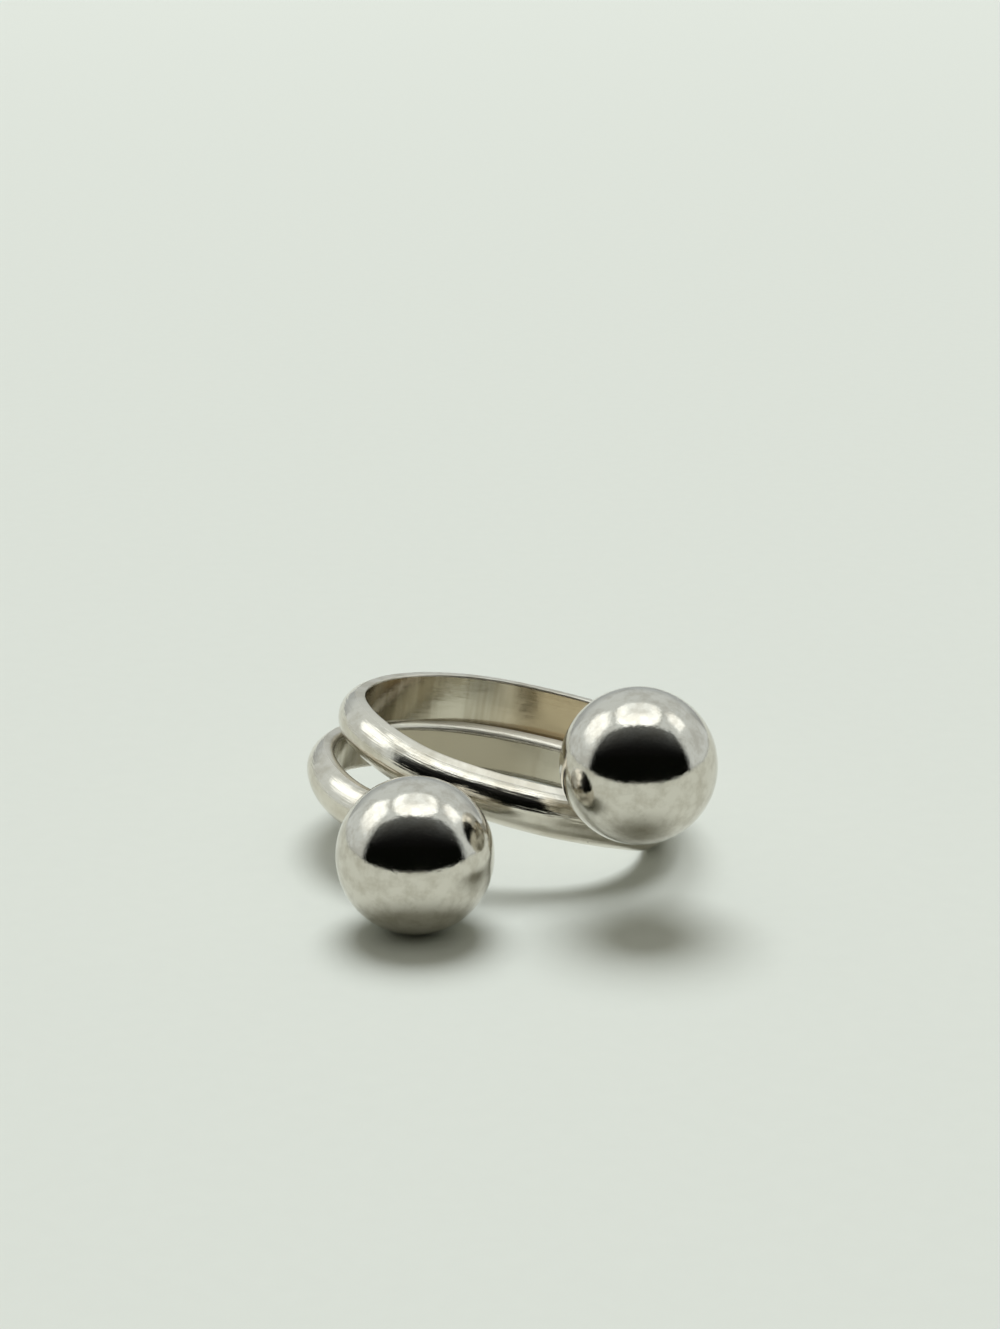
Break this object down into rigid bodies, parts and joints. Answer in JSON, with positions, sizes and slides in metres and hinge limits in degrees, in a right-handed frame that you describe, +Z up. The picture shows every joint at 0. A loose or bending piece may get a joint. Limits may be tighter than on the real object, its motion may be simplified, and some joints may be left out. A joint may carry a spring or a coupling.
{
  "type": "adjustable ring",
  "caption": "Adjustable finger ring of polished half-round silver wire, wound almost twice round, its two ends meeting in plain balls side by side at the front.",
  "frame": {"origin": "middle of the box's underside, on the surface the ring lies on", "axes": "+Z up from the surface, -Y towards the two balls and the viewer, +X to the viewer's right, +Y to the back of the wraps"},
  "size_m": [0.0214, 0.0282, 0.0121],
  "materials": {
    "silver": "polished"
  },
  "bodies": {
    "root": {"ring": "silver"}
  },
  "joints": []
}
